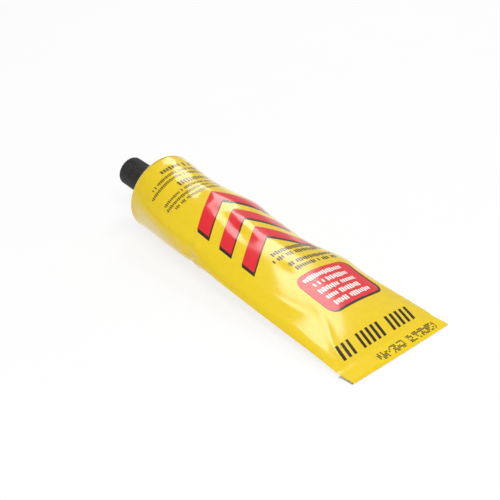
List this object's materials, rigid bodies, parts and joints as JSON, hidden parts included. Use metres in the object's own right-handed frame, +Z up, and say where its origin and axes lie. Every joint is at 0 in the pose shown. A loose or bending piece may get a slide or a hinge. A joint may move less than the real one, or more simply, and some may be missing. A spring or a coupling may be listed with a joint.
{
  "type": "adhesive sealant tube",
  "caption": "Collapsible aluminium tube of adhesive sealant with a round shoulder, a folded flat tail and a ribbed screw cap, lying on its belly.",
  "frame": {"origin": "middle of the bounding box, on the floor under the lying tube", "axes": "+X along the tube from the cap to the tail fold, +Y across it, +Z up"},
  "size_m": [0.1478, 0.0512, 0.0318],
  "materials": {
    "tube_enamel": "glossy yellow enamel with red and dark-brown print fields, over bare aluminium",
    "cap_plastic": "satin black moulded plastic, finely ribbed",
    "liner_foam": "off-white closed-cell sealing foam"
  },
  "bodies": {
    "tube": {"tube": "tube_enamel"},
    "liner": {"cap_liner": "liner_foam"},
    "cap": {"cap": "cap_plastic"}
  },
  "joints": [
    {"name": "cap_rise", "type": "slide", "parent": "tube", "child": "liner", "axis": [-0.9927, 0, 0.1205], "range_m": [0, 0.006]},
    {"name": "cap_turn", "type": "hinge", "parent": "liner", "child": "cap", "pos_m": [-0.05206, 0.0005, 0.01588], "axis": [-0.9927, 0, 0.1205], "range_deg": [0, 1081]}
  ],
  "couplings": [
    {"joint": "cap_turn", "follows": "cap_rise", "rad_per_m": 3141.6}
  ]
}
